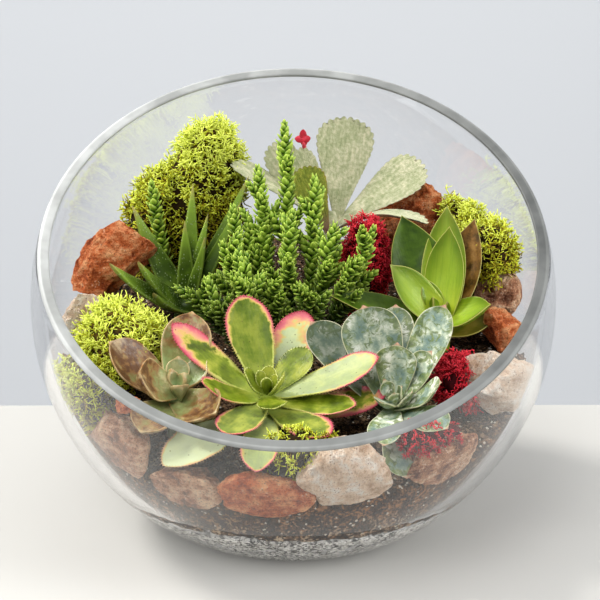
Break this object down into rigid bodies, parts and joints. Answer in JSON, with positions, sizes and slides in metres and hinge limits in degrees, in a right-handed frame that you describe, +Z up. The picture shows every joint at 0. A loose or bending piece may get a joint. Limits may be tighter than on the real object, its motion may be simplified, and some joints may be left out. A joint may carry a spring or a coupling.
{
  "type": "glass plant terrarium",
  "caption": "Round glass bowl with a slanting open rim, planted with succulents among moss and stones over soil and a layer of grit.",
  "frame": {"origin": "centre of the flat underside that the bowl stands on", "axes": "+Z up, -Y the front, where the slanting rim is lowest, +X to the right as seen from the front"},
  "size_m": [0.2038, 0.2009, 0.1677],
  "materials": {
    "clear_glass": "polished",
    "potting_soil": "matte",
    "drainage_grit": "matte",
    "cream_stone": "matte",
    "red_stone": "matte",
    "brown_stone": "matte",
    "green_moss": "matte",
    "red_moss": "matte",
    "aeonium_leaf": "satin",
    "blue_leaf": "matte",
    "green_leaf": "satin",
    "brown_leaf": "satin",
    "felted_leaf": "matte",
    "red_bud": "satin",
    "speckled_leaf": "satin",
    "scale_leaf": "satin"
  },
  "bodies": {
    "root": {"aeonium_heart": "aeonium_leaf", "aeonium_leaf_1": "aeonium_leaf", "aeonium_leaf_2": "aeonium_leaf", "aeonium_leaf_3": "aeonium_leaf", "aeonium_leaf_4": "aeonium_leaf", "aeonium_leaf_5": "aeonium_leaf", "aeonium_leaf_6": "aeonium_leaf", "aeonium_leaf_7": "aeonium_leaf", "aeonium_leaf_8": "aeonium_leaf", "blue_echeveria_heart": "blue_leaf", "blue_echeveria_leaf_1": "blue_leaf", "blue_echeveria_leaf_2": "blue_leaf", "blue_echeveria_leaf_3": "blue_leaf", "blue_echeveria_leaf_4": "blue_leaf", "blue_echeveria_leaf_5": "blue_leaf", "blue_echeveria_leaf_6": "blue_leaf", "brown_echeveria_heart": "brown_leaf", "brown_echeveria_leaf_1": "brown_leaf", "brown_echeveria_leaf_2": "brown_leaf", "brown_echeveria_leaf_3": "brown_leaf", "brown_echeveria_leaf_4": "brown_leaf", "brown_echeveria_leaf_5": "brown_leaf", "glass_bowl": "clear_glass", "green_echeveria_heart": "green_leaf", "green_echeveria_leaf_1": "green_leaf", "green_echeveria_leaf_2": "green_leaf", "green_echeveria_leaf_3": "green_leaf", "green_echeveria_leaf_4": "green_leaf", "green_echeveria_leaf_5": "green_leaf", "green_echeveria_leaf_6": "green_leaf", "grit_layer": "drainage_grit", "haworthia": "speckled_leaf", "kalanchoe_bud": "red_bud", "kalanchoe_leaf_1": "felted_leaf", "kalanchoe_leaf_2": "felted_leaf", "kalanchoe_leaf_3": "felted_leaf", "kalanchoe_leaf_4": "felted_leaf", "kalanchoe_leaf_5": "felted_leaf", "kalanchoe_stem": "felted_leaf", "moss_back_left": "green_moss", "moss_front": "green_moss", "moss_left": "green_moss", "moss_right_back": "green_moss", "pebble_terracotta": "red_stone", "red_moss_centre": "red_moss", "red_moss_front": "red_moss", "red_moss_right": "red_moss", "soil": "potting_soil", "stone_brown_front_left": "brown_stone", "stone_brown_right": "brown_stone", "stone_cream_front": "cream_stone", "stone_cream_left": "cream_stone", "stone_cream_right": "cream_stone", "stone_orange_right": "brown_stone", "stone_pink_front_left": "brown_stone", "stone_red_back_left": "red_stone", "stone_red_back_right": "red_stone", "stone_red_front": "red_stone", "stone_tan_front_right": "brown_stone", "watch_chain": "scale_leaf"}
  },
  "joints": []
}
